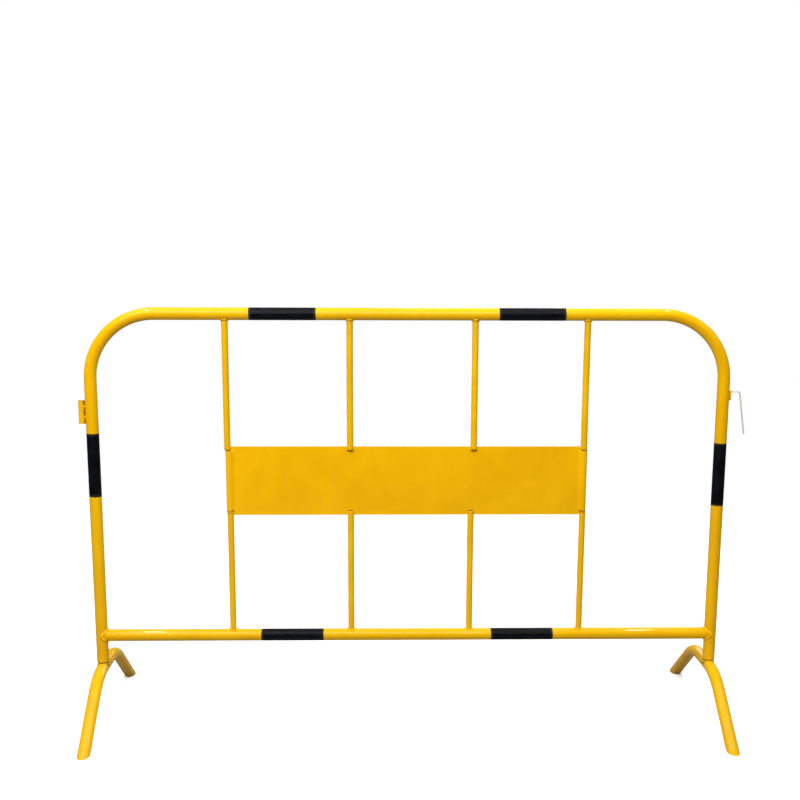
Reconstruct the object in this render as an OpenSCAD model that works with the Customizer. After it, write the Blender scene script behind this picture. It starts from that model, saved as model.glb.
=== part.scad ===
// Crowd control barrier: bent hoop, bars, blank sign panel, plug-in feet.
// Millimetres, +X along the barrier to the hook side, +Y to the back, +Z up.
// Origin on the ground, in the middle of the overall length and depth.

/* [Frame] */
// width over the two legs
frame_w = 1500; // [1300:10:2000]
// height over the top rail
frame_h = 990; // [900:5:1200]
// outside diameter of the hoop, rail and feet
tube_d = 28.6; // [26:0.1:34]
// wall of that tube
tube_wall = 1.5; // [1:0.1:2.5]
// bend radius of the top corners, to the tube's centre
corner_r = 150; // [100:5:200]
// height of the bottom rail's centre
rail_z = 208; // [195:1:260]

/* [Bars] */
// outside diameter of the upright bars
bar_d = 15; // [12:0.5:18]
// wall of a bar
bar_wall = 1.2; // [0.8:0.1:2]
// places of the bars above the panel
upper_x = [-424, -137, 153, 413]; // [-450:1:450]
// places of the bars below the panel
lower_x = [-420, -136, 148, 414]; // [-450:1:450]

/* [Panel] */
// height of the panel's lower edge
panel_z = 504; // [450:1:560]
// height of the panel
panel_h = 164; // [120:2:220]
// thickness of the sheet
sheet_t = 1.5; // [1:0.1:3]
// outside diameter of the rolled side edges
roll_d = 13.5; // [10:0.5:16]
// places of the two rolled edges
roll_x = [-422, 414.5]; // [-450:0.5:450]
// how far a bar's slotted end laps over the sheet
bar_lap = 8; // [4:1:14]

/* [Bands] */
// length of a black band on the top rail
top_band = 154; // [80:2:200]
// length of a black band on the bottom rail
low_band = 150; // [80:2:200]
// length of a black band on a leg
leg_band = 150; // [80:2:200]
// thickness of the film
film_t = 0.35; // [0.2:0.05:0.8]

/* [Feet] */
// height of the foot's crown, to the tube's centre
crown_z = 128; // [110:1:150]
// half length of the level crown
crown_half = 40; // [38:1:80]
// bend radius of the foot, to the tube's centre
foot_r = 160; // [120:5:240]
// how far the foot's middle is behind the leg
foot_back = 35; // [0:1:40]
// length of the spigot above the crown
spigot_up = 50; // [30:2:52]
// gap all round between the spigot and the leg's bore
spigot_gap = 0.05; // [0.02:0.01:0.1]

/* [Links] */
// diameter of the hook's rod
hook_d = 4; // [3:0.5:8]
// length of the hook's straight drop arm
hook_arm = 96; // [60:2:120]
// length of the hook's level top
hook_top = 11; // [6:1:20]
// height of the hook's level top
hook_z = 798; // [700:2:800]
// length of the socket tube
socket_len = 54; // [30:2:80]
// height of the socket tube's middle
socket_z = 749; // [600:1:780]
// gap between the socket tube and its leg
socket_gap = 1; // [0.2:0.1:4]

/* [Hidden] */
$fn = 40;
tube_r = tube_d / 2;
bore_r = tube_r - tube_wall;
bar_r = bar_d / 2;
leg_x = frame_w / 2 - tube_r;
top_z = frame_h - tube_r;
bend_z = top_z - corner_r;
panel_top = panel_z + panel_h;
// the leg stops just above the foot's crown
seat_gap = 0.3;
leg_z = crown_z + tube_r + seat_gap;
// clear of the equal tube it is coped to, under the bead
cope_gap = 0.1;
bead = 2.2;
top_band_x = [-291, 284];
low_band_x = [-277, 275];
leg_band_z = [624, 601];
// slope of the foot's straight ends: its sine is 0.6 and its cosine 0.8
foot_slope = atan2(3, 4);
bend_drop = foot_r * (1 - cos(foot_slope));
end_len = (crown_z - bend_drop) / sin(foot_slope);
over = 60;
// outward lean of the hook's drop arm: half of it has the sine 0.07584 and the cosine 0.99712
hook_lean = 2 * atan2(237, 3116);
hook_r = hook_d / 2;
hook_bend = 6;
hook_x = leg_x + tube_r + hook_r + 0.1;
hook_foot = 15;
arm_x = hook_x + hook_bend + hook_top;
tip_x = arm_x + hook_bend * cos(hook_lean) + hook_arm * sin(hook_lean);
// socket
socket_x = -(leg_x + tube_r + socket_gap + bar_r);
// middle of the overall length and depth, measured from the hoop's own middle
mid_x = (tip_x + hook_r * cos(hook_lean) + socket_x - bar_r) / 2;
mid_y = foot_back;

yellow = [0.95, 0.70, 0.05];
black = [0.04, 0.04, 0.05];
zinc = [0.78, 0.79, 0.78];

// ---- helpers ----

module place() {
    translate([-mid_x, -mid_y, 0])
        children();
}

module upright(x, z0, z1, r) {
    translate([x, 0, z0])
        cylinder(h = z1 - z0, r = r);
}

module along_x(x0, x1, z, r) {
    translate([x0, 0, z])
        rotate([0, 90, 0])
            cylinder(h = x1 - x0, r = r);
}

// a quarter bend in the hoop's plane; side is -1 at the left, 1 at the right
module corner(side, r) {
    translate([side * (leg_x - corner_r), 0, bend_z])
        rotate([90, 0, 0])
            rotate([0, 0, side > 0 ? 0 : 90])
                rotate_extrude(angle = 90)
                    translate([corner_r, 0])
                        circle(r = r);
}

// turns its children by each angle in turn
module turned(angles, i = 0) {
    if (i == len(angles))
        children();
    else
        rotate([0, 0, angles[i]])
            turned(angles, i + 1)
                children();
}

// a bend from the local X axis round by these angles, and the straight run after it
module bent_end(bend, angles, run, r) {
    difference() {
        rotate_extrude(angle = 90)
            translate([bend, 0])
                circle(r = r);
        turned(angles)
            translate([-bend, 0, -2 * r])
                cube([3 * bend, 3 * bend, 4 * r]);
    }
    turned(angles)
        translate([bend, 0, 0])
            rotate([-90, 0, 0])
                cylinder(h = run, r = r);
}

module hoop_run(r) {
    for (side = [-1, 1]) {
        upright(side * leg_x, leg_z, bend_z, r);
        corner(side, r);
    }
    along_x(-(leg_x - corner_r), leg_x - corner_r, top_z, r);
}

module sheet_slab() {
    translate([roll_x[0], -sheet_t / 2, panel_z])
        cube([roll_x[1] - roll_x[0], sheet_t, panel_h]);
}

module rolls(r) {
    for (x = roll_x)
        upright(x, panel_z + bar_lap, panel_top - bar_lap, r);
}

// ---- frame ----

module hoop_tube() {
    color(yellow)
        place()
            difference() {
                hoop_run(tube_r);
                hoop_run(bore_r);
            }
}

module bottom_rail() {
    color(yellow)
        place()
            difference() {
                along_x(-leg_x, leg_x, rail_z, tube_r);
                along_x(-frame_w, frame_w, rail_z, bore_r);
                for (side = [-1, 1])
                    upright(side * leg_x, leg_z, bend_z, tube_r + cope_gap);
            }
}

module upper_bar(i) {
    color(yellow)
        place()
            difference() {
                upright(upper_x[i], panel_top - bar_lap, top_z, bar_r);
                upright(upper_x[i], panel_z, frame_h, bar_r - bar_wall);
                along_x(-leg_x, leg_x, top_z, tube_r);
                sheet_slab();
            }
}

module lower_bar(i) {
    color(yellow)
        place()
            difference() {
                upright(lower_x[i], rail_z, panel_z + bar_lap, bar_r);
                upright(lower_x[i], 0, panel_top, bar_r - bar_wall);
                along_x(-leg_x, leg_x, rail_z, tube_r);
                sheet_slab();
            }
}

module upper_bar_1() { upper_bar(0); }
module upper_bar_2() { upper_bar(1); }
module upper_bar_3() { upper_bar(2); }
module upper_bar_4() { upper_bar(3); }
module lower_bar_1() { lower_bar(0); }
module lower_bar_2() { lower_bar(1); }
module lower_bar_3() { lower_bar(2); }
module lower_bar_4() { lower_bar(3); }

module sign_panel() {
    color(yellow)
        place()
            difference() {
                union() {
                    sheet_slab();
                    rolls(roll_d / 2);
                }
                rolls(roll_d / 2 - sheet_t);
            }
}

// ---- black bands ----

module rail_band(x, z, w) {
    color(black)
        place()
            difference() {
                along_x(x - w / 2, x + w / 2, z, tube_r + film_t);
                along_x(x - w, x + w, z, tube_r);
            }
}

module post_band(x, z) {
    color(black)
        place()
            difference() {
                upright(x, z - leg_band / 2, z + leg_band / 2, tube_r + film_t);
                upright(x, z - leg_band, z + leg_band, tube_r);
            }
}

module top_band_left() { rail_band(top_band_x[0], top_z, top_band); }
module top_band_right() { rail_band(top_band_x[1], top_z, top_band); }
module low_band_left() { rail_band(low_band_x[0], rail_z, low_band); }
module low_band_right() { rail_band(low_band_x[1], rail_z, low_band); }
module leg_band_left() { post_band(-leg_x, leg_band_z[0]); }
module leg_band_right() { post_band(leg_x, leg_band_z[1]); }

// ---- weld beads ----

// the bead round each end of the bottom rail, on the leg's wall
module rail_welds() {
    color(yellow)
        place()
            for (side = [-1, 1])
                difference() {
                    intersection() {
                        upright(side * leg_x, 0, frame_h, tube_r + bead + 0.2);
                        along_x(-leg_x, leg_x, rail_z, tube_r + bead);
                        translate([side * (leg_x - 4) - (side > 0 ? 40 : 0), -40, rail_z - 40])
                            cube([40, 80, 80]);
                    }
                    upright(side * leg_x, 0, frame_h, tube_r);
                    along_x(-leg_x, leg_x, rail_z, tube_r);
                }
}

// a bead round a bar's end, on the curved wall of a rail
module rail_bead(x, z, up) {
    difference() {
        intersection() {
            along_x(x - 20, x + 20, z, tube_r + bead);
            upright(x, z + (up ? 0 : -30), z + (up ? 30 : 0), bar_r + bead);
        }
        along_x(x - 30, x + 30, z, tube_r);
        upright(x, z - 40, z + 40, bar_r);
    }
}

module upper_bar_welds() {
    color(yellow)
        place()
            for (x = upper_x)
                rail_bead(x, top_z, false);
}

module lower_bar_welds() {
    color(yellow)
        place()
            for (x = lower_x)
                rail_bead(x, rail_z, true);
}

// a bead round a bar's lapped end, on both faces of the sheet
module lap_bead(x, z, up) {
    difference() {
        translate([x, 0, z])
            mirror([0, 0, up ? 0 : 1])
                translate([0, 0, -1.5])
                    cylinder(h = 6, r1 = bar_r + bead, r2 = bar_r + 0.4);
        upright(x, up ? z : z - 20, up ? z + 20 : z, bar_r);
        upright(x, z - 20, z + 20, bar_r - bar_wall);
        sheet_slab();
        rolls(roll_d / 2);
    }
}

module panel_welds() {
    color(yellow)
        place() {
            for (x = upper_x)
                lap_bead(x, panel_top - bar_lap, true);
            for (x = lower_x)
                lap_bead(x, panel_z + bar_lap, false);
        }
}

// ---- links ----

// the rod up the leg's side and over to the arm
module hook_start() {
    upright(hook_x, hook_z - hook_bend - hook_foot, hook_z - hook_bend, hook_r);
    translate([hook_x + hook_bend, 0, hook_z - hook_bend])
        rotate([90, 0, 0])
            rotate([0, 0, 90])
                rotate_extrude(angle = 90)
                    translate([hook_bend, 0])
                        circle(r = hook_r);
    along_x(hook_x + hook_bend, arm_x, hook_z, hook_r);
}

module link_hook() {
    color(zinc)
        place() {
            hook_start();
            translate([arm_x, 0, hook_z - hook_bend])
                rotate([90, 0, 0])
                    rotate([0, 0, 90])
                        mirror([0, 1, 0])
                            bent_end(hook_bend, [90, -hook_lean / 2, -hook_lean / 2], hook_arm, hook_r);
        }
}

module hook_weld() {
    color(yellow)
        place()
            difference() {
                upright(hook_x + 0.4, hook_z - hook_bend - hook_foot + 1, hook_z + hook_r + 0.8, hook_r + 1.6);
                hook_start();
                upright(leg_x, 0, frame_h, tube_r);
            }
}

module link_socket() {
    color(yellow)
        place()
            difference() {
                upright(socket_x, socket_z - socket_len / 2, socket_z + socket_len / 2, bar_r);
                upright(socket_x, 0, frame_h, bar_r - bar_wall);
            }
}

module socket_welds() {
    color(yellow)
        place()
            for (dz = [-11, 13])
                difference() {
                    along_x(socket_x, -leg_x, socket_z + dz, 4.5);
                    upright(socket_x, 0, frame_h, bar_r);
                    upright(-leg_x, 0, frame_h, tube_r);
                }
}

// ---- feet ----

// half a foot, from its middle to past the ground; side is -1 to the front
module foot_half(side, r) {
    mirror([0, side > 0 ? 0 : 1, 0]) {
        translate([0, 0, crown_z])
            rotate([-90, 0, 0])
                cylinder(h = crown_half, r = r);
        translate([0, crown_half, crown_z - foot_r])
            rotate([90, 0, 90])
                rotate([0, 0, 90])
                    mirror([0, 1, 0])
                        bent_end(foot_r, [foot_slope], end_len + over, r);
    }
}

module foot(x) {
    color(yellow)
        place()
            difference() {
                translate([x, foot_back, 0]) {
                    foot_half(-1, tube_r);
                    foot_half(1, tube_r);
                }
                translate([x, foot_back, 0]) {
                    foot_half(-1, bore_r);
                    foot_half(1, bore_r);
                }
                upright(x, crown_z, leg_z, bore_r);
                translate([x - 50, -1000, -200])
                    cube([100, 2000, 200]);
            }
}

module spigot(x) {
    color(yellow)
        place()
            difference() {
                upright(x, crown_z, leg_z + spigot_up, bore_r - spigot_gap);
                upright(x, 0, frame_h, bore_r - spigot_gap - tube_wall);
            }
}

module foot_left() { foot(-leg_x); }
module foot_right() { foot(leg_x); }
module spigot_left() { spigot(-leg_x); }
module spigot_right() { spigot(leg_x); }

// ---- drawing ----

hoop_tube();
bottom_rail();
upper_bar_1();
upper_bar_2();
upper_bar_3();
upper_bar_4();
lower_bar_1();
lower_bar_2();
lower_bar_3();
lower_bar_4();
sign_panel();
top_band_left();
top_band_right();
low_band_left();
low_band_right();
leg_band_left();
leg_band_right();
rail_welds();
upper_bar_welds();
lower_bar_welds();
panel_welds();
link_hook();
hook_weld();
link_socket();
socket_welds();
foot_left();
spigot_left();
foot_right();
spigot_right();
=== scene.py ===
"""A crowd control barrier: its finished surfaces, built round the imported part."""

import math
import random

import bmesh
import bpy
from mathutils import Matrix, Vector


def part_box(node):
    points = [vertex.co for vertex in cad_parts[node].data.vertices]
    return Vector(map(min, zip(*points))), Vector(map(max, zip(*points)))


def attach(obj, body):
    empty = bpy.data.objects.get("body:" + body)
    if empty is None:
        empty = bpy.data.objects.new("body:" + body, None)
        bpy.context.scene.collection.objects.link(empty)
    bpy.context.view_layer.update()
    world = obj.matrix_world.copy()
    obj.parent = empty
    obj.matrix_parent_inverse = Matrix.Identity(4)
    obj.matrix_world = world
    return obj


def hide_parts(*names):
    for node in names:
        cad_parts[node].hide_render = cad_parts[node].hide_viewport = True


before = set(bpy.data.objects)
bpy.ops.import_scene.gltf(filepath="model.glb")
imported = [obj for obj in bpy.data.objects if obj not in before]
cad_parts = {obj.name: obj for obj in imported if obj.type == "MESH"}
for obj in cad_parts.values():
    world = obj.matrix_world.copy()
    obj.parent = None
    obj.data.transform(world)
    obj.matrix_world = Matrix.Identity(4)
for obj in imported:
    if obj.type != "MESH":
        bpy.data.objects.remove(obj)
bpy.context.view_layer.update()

# ---- sizes, in metres, from the middle of the hoop ----

TUBE_R = 0.0143
TUBE_WALL = 0.0015
LEG_X = 0.7357
TOP_Z = 0.9757                  # middle of the top rail
RAIL_Z = 0.208                  # middle of the bottom rail
CORNER_R = 0.150                # middle line of the hoop's bends
BEND_Z = TOP_Z - CORNER_R
LEG_Z = 0.1426                  # cut end of the legs
CUT_LIP = 0.00025               # the burr that paint rounds over at a leg's end

BAR_R = 0.0075
BAR_WALL = 0.0012
BAR_SAG = 0.0004                # the most a bar bows sideways
UPPER_X = (-0.424, -0.137, 0.153, 0.413)
LOWER_X = (-0.420, -0.136, 0.148, 0.414)

SHEET_LOW = 0.504
SHEET_HIGH = 0.668
SHEET_T = 0.0015
LAP = 0.008                     # how far a bar's end laps over the sheet
ROLL_R = 0.00675
ROLL_X = (-0.422, 0.4145)
HEM = 0.015                     # how far the front turns in beside a roll
PULL_REACH = 0.035              # how far a weld pulls the sheet about itself

# where the bars end on the sheet: (x, z, way up the bar)
BAR_ENDS = [(x, SHEET_HIGH - LAP, 1) for x in UPPER_X] + [(x, SHEET_LOW + LAP, -1) for x in LOWER_X]

FILM = 0.00035
TOP_BANDS = {"top_band_left": -0.291, "top_band_right": 0.284}
LOW_BANDS = {"low_band_left": -0.277, "low_band_right": 0.275}
LEG_BANDS = {"leg_band_left": (-LEG_X, 0.624), "leg_band_right": (LEG_X, 0.601)}
TOP_BAND_LONG = 0.154
LOW_BAND_LONG = 0.150
LEG_BAND_LONG = 0.150

CROWN_Z = 0.128                 # middle of a foot's level crown
CROWN_HALF = 0.040
FOOT_R = 0.160                  # middle line of a foot's bends
FOOT_BACK = 0.035               # how far a foot's middle lies behind the leg
FOOT_SLOPE = math.atan2(3, 4)
FOOT_FLATTENING = 0.012
SPIGOT_R = TUBE_R - TUBE_WALL - 0.00005
SPIGOT_TOP = LEG_Z + 0.050

ROD_R = 0.002
ROD_BEND = 0.006                # middle line of the hook's bends
ROD_X = LEG_X + TUBE_R + ROD_R + 0.0001
ROD_Z = 0.798                   # the hook's level top
ROD_ARM = 0.096                 # leaning arm
ROD_FOOT = 0.015                # upright length welded to the leg
ROD_LEVEL = 0.011               # straight length between the bends
ROD_LEAN = 2 * math.atan2(237, 3116)

SOCKET_X = -(LEG_X + TUBE_R + 0.0010 + BAR_R)
SOCKET_Z = 0.749
SOCKET_LONG = 0.054
TACK_Z = (-0.011, 0.013)        # the two tacks, from the socket's middle

SIDE = Vector((0, 1, 0))
ACROSS = Vector((1, 0, 0))
UP = Vector((0, 0, 1))

# points round each kind of ring, and stations along a bead
TUBE_SIDES = 56
SPIGOT_SIDES = 48
SOCKET_SIDES = 36
BAR_SIDES = 32
ROD_SIDES = 24
BEAD_SIDES = 12
BEAD_STEPS = 96
SHARP_ANGLE = math.radians(38)

low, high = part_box("hoop_tube")
HOOP_MIDDLE = Vector(((low[0] + high[0]) / 2, (low[1] + high[1]) / 2, 0))

dice = random.Random(7)


# ---- mesh helpers ----

def smooth_step(a, b, x):
    t = min(1.0, max(0.0, (x - a) / (b - a)))
    return t * t * (3 - 2 * t)


def spread(a, b, count):
    """count values from a to b, both included."""
    return [a + (b - a) * i / (count - 1) for i in range(count)]


def ring(middle, u, v, r, count, ru=1.0, rv=1.0):
    """count points round middle in the plane of u and v."""
    turn = 2 * math.pi / count
    return [middle + u * (r * ru * math.cos(turn * i)) + v * (r * rv * math.sin(turn * i))
            for i in range(count)]


def tube_rise(away):
    """How far a tube's surface stands above its middle line, this far to its side."""
    return math.sqrt(max(0.0, TUBE_R ** 2 - away ** 2))


def skin(rings, wrap, first):
    """Quads between one ring and the next, and from the last to the first if wrap."""
    count = len(rings[0])
    faces = []
    for i in range(len(rings) if wrap else len(rings) - 1):
        a = first + i * count
        b = first + (i + 1) % len(rings) * count
        for j in range(count):
            k = (j + 1) % count
            faces.append((a + j, a + k, b + k, b + j))
    return faces


class Shape:
    """Points, faces and marks of one piece while it is being made."""

    def __init__(self):
        self.points = []
        self.faces = []
        self.shade_and_rust = []
        self.wear = []

    def add(self, rings, wrap=False, ends=False, shade_and_rust=None, wear=None):
        """Adds rings and the skin over them; ends closes both with a face.

        The dark mark is a function of a point or one mark for each point: painted shade in crevices and
        beside welds, and rust on the zinc hook; wear is a function of a point.
        """
        first = len(self.points)
        count = len(rings[0])
        for r in rings:
            self.points += r
        self.faces += skin(rings, wrap, first)
        if ends:
            last = first + (len(rings) - 1) * count
            self.faces.append(tuple(range(first, first + count)))
            self.faces.append(tuple(range(last, last + count)))
        added = self.points[first:]
        self.shade_and_rust += [shade_and_rust(p) for p in added] if callable(shade_and_rust) else shade_and_rust or [0.0] * len(added)
        self.wear += [wear(p) for p in added] if wear else [0.0] * len(added)

    def finish(self, name, material, body, stands_for=(), soft_edge=0.0003):
        """Makes the object, puts it on its body and lets it stand for its CAD nodes."""
        mesh = bpy.data.meshes.new(name)
        mesh.from_pydata([p + HOOP_MIDDLE for p in self.points], [], self.faces)
        # the dark mark holds painted shade, and rust on the zinc hook
        for mark, values in (("shade_and_rust", self.shade_and_rust), ("wear", self.wear)):
            mesh.attributes.new(mark, "FLOAT", "POINT").data.foreach_set("value", values)
        work = bmesh.new()
        work.from_mesh(mesh)
        bmesh.ops.recalc_face_normals(work, faces=work.faces)
        work.to_mesh(mesh)
        work.free()
        mesh.shade_smooth()
        mesh.set_sharp_from_angle(angle=SHARP_ANGLE)
        mesh.materials.append(material)
        obj = bpy.data.objects.new(name, mesh)
        bpy.context.scene.collection.objects.link(obj)
        if soft_edge:
            edge = obj.modifiers.new("soft_edge", "BEVEL")
            edge.width = soft_edge
            edge.segments = 2
            edge.limit_method = "ANGLE"
            edge.angle_limit = SHARP_ANGLE
        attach(obj, body)
        if stands_for:
            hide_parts(*stands_for)


def bead_rings(crease, size, pitch=0.0024, seed=1):
    """Rings of a closed weld bead and painted shade at its toes. crease(t) gives (point, way out) for t from
    0 to 1.
    """
    luck = random.Random(seed)
    spots = [crease(i / BEAD_STEPS) for i in range(BEAD_STEPS)]
    total = sum((spots[i][0] - spots[i - 1][0]).length for i in range(1, BEAD_STEPS))
    puddles = max(3, round(total / pitch))
    swell = [luck.uniform(-0.10, 0.12) for _ in range(puddles + 1)]
    shade = [luck.random() for _ in range(puddles + 1)]
    rings, toe_shade = [], []
    for i, (spot, out) in enumerate(spots):
        along = (spots[(i + 1) % BEAD_STEPS][0] - spots[i - 1][0]).normalized()
        out = (out - along * out.dot(along)).normalized()
        side = along.cross(out)
        t = i / BEAD_STEPS * puddles
        lump = 1 - abs(2 * (t % 1) - 1) ** 2.5
        r = size * (0.93 + 0.13 * lump + swell[int(t)])
        rings.append(ring(spot + out * (0.15 * size), out, side, r, BEAD_SIDES))
        # painted shade at the bead's toes, deeper at some puddles than others
        dark = 0.35 + 0.65 * smooth_step(0.35, 0.8, shade[int(t)])
        for j in range(BEAD_SIDES):
            lean = abs((j / BEAD_SIDES * 2 + 1) % 2 - 1) * 180
            toe_shade.append(dark * smooth_step(48, 88, lean))
    return rings, toe_shade


# ---- node helpers ----

def wire(tree, kind, sockets=None, **settings):
    """Adds a node; sockets gives each input a value or an output to follow."""
    made = tree.nodes.new(kind)
    for key, value in settings.items():
        setattr(made, key, value)
    for key, value in (sockets or {}).items():
        if isinstance(value, bpy.types.NodeSocket):
            tree.links.new(value, made.inputs[key])
        else:
            made.inputs[key].default_value = value
    return made


def sums(tree, operation, a, b=0.5, c=0.5, clamp=False):
    return wire(tree, "ShaderNodeMath", {0: a, 1: b, 2: c}, operation=operation, use_clamp=clamp).outputs[0]


def blend_colour(tree, share, a, b):
    return wire(tree, "ShaderNodeMix", {0: share, 6: a, 7: b}, data_type="RGBA").outputs[2]


def rescale(tree, value, low_in, high_in, low_out=0.0, high_out=1.0):
    """Smoothly takes low_in..high_in to low_out..high_out."""
    return wire(tree, "ShaderNodeMapRange",
                {0: value, 1: low_in, 2: high_in, 3: low_out, 4: high_out},
                interpolation_type="SMOOTHSTEP").outputs[0]


def noise(tree, where, scale, detail=2.0, roughness=0.5, distortion=0.0):
    """Cloudy noise, mostly between 0.3 and 0.7; scale is a number or an output to follow."""
    return wire(tree, "ShaderNodeTexNoise",
                {"Vector": where, "Scale": scale, "Detail": detail,
                 "Roughness": roughness, "Distortion": distortion}).outputs[0]


def stretched(tree, place, z_scale):
    """Coordinates that draw a pattern out into upright streaks."""
    return wire(tree, "ShaderNodeMapping", {"Vector": place, "Scale": (1.0, 1.0, z_scale)}).outputs[0]


def bumped(tree, shader, height, distance, strength=1.0):
    bump = wire(tree, "ShaderNodeBump", {"Height": height, "Strength": strength, "Distance": distance})
    tree.links.new(bump.outputs[0], shader.inputs["Normal"])


def new_group(name, inputs, outputs):
    """A shader node group with these (name, kind, value) inputs and (name, kind) outputs."""
    tree = bpy.data.node_groups.new(name, "ShaderNodeTree")
    for title, kind, value in inputs:
        socket = tree.interface.new_socket(title, in_out="INPUT", socket_type="NodeSocket" + kind)
        if value is not None:
            socket.default_value = value
    for title, kind in outputs:
        tree.interface.new_socket(title, in_out="OUTPUT", socket_type="NodeSocket" + kind)
    return tree, tree.nodes.new("NodeGroupInput").outputs, tree.nodes.new("NodeGroupOutput").inputs


def use_group(tree, group, sockets):
    return wire(tree, "ShaderNodeGroup", sockets, node_tree=group).outputs


# ---- shared effects ----

LYING_DUST = 0.05
SPLASHED_DUST = 0.14
SPLASH_HEIGHT = 0.03


def orange_peel_group():
    """The low, even dimpling of sprayed enamel, as a height."""
    tree, given, out = new_group(
        "orange_peel", [("Place", "Vector", None), ("Dimples", "Float", 420.0)], [("Height", "Float")])
    fine = noise(tree, given["Place"], given["Dimples"], 1.0, 0.4)
    slow = noise(tree, given["Place"], sums(tree, "MULTIPLY", given["Dimples"], 0.13))
    tree.links.new(sums(tree, "MULTIPLY_ADD", slow, 1.6, fine), out["Height"])
    return tree


def film_build_group():
    """Where the paint lies thick or thin: 0 is thin and 1 is thick."""
    tree, given, out = new_group(
        "film_build", [("Place", "Vector", None), ("Patches", "Float", 9.0)], [("Thickness", "Float")])
    wide = noise(tree, given["Place"], given["Patches"], 3.0, 0.55, 0.3)
    streaks = stretched(tree, given["Place"], 0.14)
    runs = noise(tree, streaks, sums(tree, "MULTIPLY", given["Patches"], 5.0))
    both = sums(tree, "MULTIPLY_ADD", runs, 0.14, sums(tree, "MULTIPLY", wide, 0.86))
    tree.links.new(rescale(tree, both, 0.34, 0.66), out["Thickness"])
    return tree


def crevice_group():
    """A ragged mask from the dark mark: painted shade in the corners beside the welds, and rust at the zinc
    hook's cut end.
    """
    tree, given, out = new_group(
        "crevice_shade", [("Place", "Vector", None), ("Mark", "Float", 0.0)], [("Mask", "Float")])
    broken = noise(tree, given["Place"], 260.0, 3.0, 0.6)
    ragged = sums(tree, "MULTIPLY", given["Mark"], rescale(tree, broken, 0.30, 0.58, 0.45, 1.0))
    tree.links.new(rescale(tree, ragged, 0.25, 0.85), out["Mask"])
    return tree


def chips_group():
    """Small chips through the paint, thicker where the wear mark is high."""
    tree, given, out = new_group(
        "chips", [("Place", "Vector", None), ("Wear", "Float", 0.0), ("Flecks", "Float", 190.0)],
        [("Mask", "Float"), ("Rim", "Float")])
    spots = noise(tree, given["Place"], given["Flecks"], 4.0, 0.62)
    need = sums(tree, "SUBTRACT", 0.80, sums(tree, "MULTIPLY", given["Wear"], 0.36))
    over = sums(tree, "SUBTRACT", spots, need)
    tree.links.new(rescale(tree, over, 0.0, 0.012), out["Mask"])
    tree.links.new(rescale(tree, over, -0.03, 0.0), out["Rim"])
    return tree


def dust_group():
    """Street dust: a light film on what faces up, thicker near the ground."""
    tree, given, out = new_group(
        "settled_dust", [("Place", "Vector", None), ("Facing", "Vector", None)], [("Mask", "Float")])
    up = wire(tree, "ShaderNodeSeparateXYZ", {0: given["Facing"]}).outputs[2]
    height = wire(tree, "ShaderNodeSeparateXYZ", {0: given["Place"]}).outputs[2]
    cloud = noise(tree, given["Place"], 70.0, 4.0, 0.65)
    lying = sums(tree, "MULTIPLY", rescale(tree, up, 0.55, 1.0), LYING_DUST)
    splash = sums(tree, "MULTIPLY", rescale(tree, height, SPLASH_HEIGHT, 0.0), SPLASHED_DUST)
    both = sums(tree, "ADD", lying, splash)
    mask = sums(tree, "MULTIPLY", both, rescale(tree, cloud, 0.38, 0.70), clamp=True)
    tree.links.new(mask, out["Mask"])
    return tree


ORANGE_PEEL = orange_peel_group()
FILM_BUILD = film_build_group()
CREVICE = crevice_group()
CHIPS = chips_group()
DUST = dust_group()


# ---- finishes ----

def fresh_material(name):
    material = bpy.data.materials.new(name)
    material.use_nodes = True
    tree = material.node_tree
    tree.nodes.clear()
    shader = tree.nodes.new("ShaderNodeBsdfPrincipled")
    out = tree.nodes.new("ShaderNodeOutputMaterial")
    tree.links.new(shader.outputs[0], out.inputs["Surface"])
    place = tree.nodes.new("ShaderNodeTexCoord").outputs["Object"]
    return material, tree, shader, place


def mark_of(tree, name):
    return wire(tree, "ShaderNodeAttribute", attribute_name=name).outputs["Fac"]


BRIGHT_YELLOW = (0.880, 0.478, 0.0004, 1)
DEEP_YELLOW = (0.830, 0.430, 0.0003, 1)
# colour of the painted shade in crevices and beside welds
PAINTED_SHADE = (0.060, 0.036, 0.010, 1)
PRIMER = (0.230, 0.115, 0.060, 1)
DUST_COLOUR = (0.330, 0.250, 0.120, 1)
PAINT_SPECULAR = 0.04
GLOSS_COAT = 0.30
COAT_ROUGHNESS = 0.05

FILM_BLACK = (0.0012, 0.0014, 0.0022, 1)
FILM_HAZE = (0.0030, 0.0036, 0.0056, 1)
FILM_SCUFF = (0.04, 0.04, 0.045, 1)
EDGE_LINT = (0.16, 0.13, 0.07, 1)
FILM_SPECULAR = 0.10

ZINC_PALE = (0.96, 0.91, 0.81, 1)
ZINC_DULL = (0.84, 0.79, 0.70, 1)
ZINC_SPANGLE = (0.92, 0.88, 0.80, 1)
RUST = (0.20, 0.11, 0.05, 1)


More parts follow.
